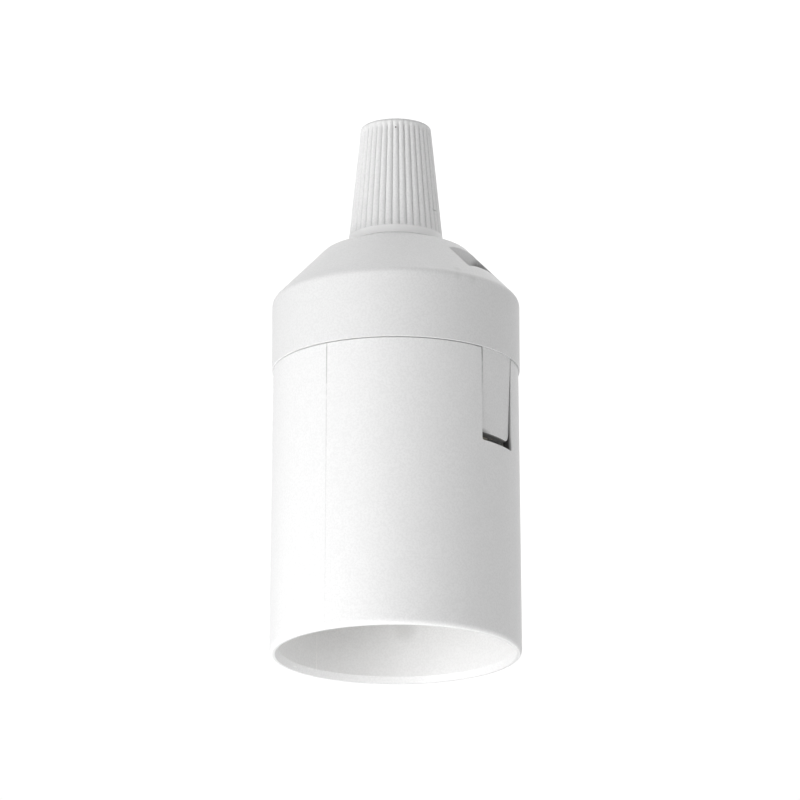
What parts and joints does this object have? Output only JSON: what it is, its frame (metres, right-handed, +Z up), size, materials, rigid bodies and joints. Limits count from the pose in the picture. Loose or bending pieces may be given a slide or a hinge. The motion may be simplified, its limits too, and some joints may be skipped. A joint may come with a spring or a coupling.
{
  "type": "twist-lock lamp holder",
  "caption": "White plastic screw-bulb lamp holder: smooth skirt twist-locked to a coned cap by a latch, with a fluted cord-grip nut.",
  "frame": {"origin": "centre of the mouth rim, on the plane that the holder stands on", "axes": "+Z up along the holder's axis from the mouth to the cord entry, +X towards the latch"},
  "size_m": [0.0404, 0.0404, 0.0884],
  "materials": {
    "white_plastic": "satin moulded thermoplastic",
    "natural_nylon": "moulded nylon",
    "cream_thermoset": "moulded thermoset",
    "brass": "stamped",
    "nickel_plate": "nickel plated",
    "spring_bronze": "rolled strip"
  },
  "bodies": {
    "holder": {"cap": "white_plastic", "insert": "cream_thermoset", "thread_shell": "nickel_plate", "grip_stem": "white_plastic", "grip_locknut": "nickel_plate", "terminal_live": "brass", "terminal_neutral": "brass", "contact_rivet": "brass", "shell_rivet_neutral": "brass", "shell_rivet_left": "brass", "shell_rivet_right": "brass"},
    "skirt_tube": {"skirt": "white_plastic"},
    "latch": {"latch_leaf": "white_plastic"},
    "clamp_ring": {"cord_clamp": "natural_nylon"},
    "nut": {"grip_nut": "white_plastic"},
    "contact": {"centre_contact": "spring_bronze"},
    "live_clamp": {"clamp_live": "nickel_plate"},
    "live_screw": {"terminal_screw_live": "nickel_plate"},
    "neutral_clamp": {"clamp_neutral": "nickel_plate"},
    "neutral_screw": {"terminal_screw_neutral": "nickel_plate"}
  },
  "joints": [
    {"name": "skirt_twist", "type": "hinge", "parent": "holder", "child": "skirt_tube", "pos_m": [0, 0, 0.04], "axis": [0, 0, -1], "range_deg": [0, 25]},
    {"name": "latch_press", "type": "hinge", "parent": "holder", "child": "latch", "pos_m": [0.01598, 0, 0.05835], "axis": [0, 1, 0], "range_deg": [0, 7.6], "deforming": ["latch_leaf"]},
    {"name": "contact_press", "type": "hinge", "parent": "holder", "child": "contact", "pos_m": [0, 0.0037, 0.03985], "axis": [-1, 0, 0], "range_deg": [0, 16], "stiffness_Nm_per_rad": 0.02, "deforming": ["centre_contact"]},
    {"name": "grip_rise", "type": "slide", "parent": "holder", "child": "clamp_ring", "axis": [0, 0, 1], "range_m": [0, 0.004]},
    {"name": "grip_turn", "type": "hinge", "parent": "clamp_ring", "child": "nut", "pos_m": [0, 0, 0.08], "axis": [0, 0, 1], "range_deg": [0, 1440]},
    {"name": "live_clamp_rise", "type": "slide", "parent": "holder", "child": "live_clamp", "axis": [0, 0, 1], "range_m": [0, 0.0018]},
    {"name": "live_screw_turn", "type": "hinge", "parent": "live_clamp", "child": "live_screw", "pos_m": [0, 0.0098, 0.0492], "axis": [0, 0, 1], "range_deg": [0, 1080]},
    {"name": "neutral_clamp_rise", "type": "slide", "parent": "holder", "child": "neutral_clamp", "axis": [0, 0, 1], "range_m": [0, 0.0018]},
    {"name": "neutral_screw_turn", "type": "hinge", "parent": "neutral_clamp", "child": "neutral_screw", "pos_m": [0, -0.00688, 0.0492], "axis": [0, 0, 1], "range_deg": [0, 1080]}
  ],
  "couplings": [
    {"joint": "latch_press", "follows": "skirt_twist", "ratio": 0.3},
    {"joint": "grip_turn", "follows": "grip_rise", "rad_per_m": 6283.1},
    {"joint": "live_screw_turn", "follows": "live_clamp_rise", "rad_per_m": 10472},
    {"joint": "neutral_screw_turn", "follows": "neutral_clamp_rise", "rad_per_m": 10472}
  ]
}
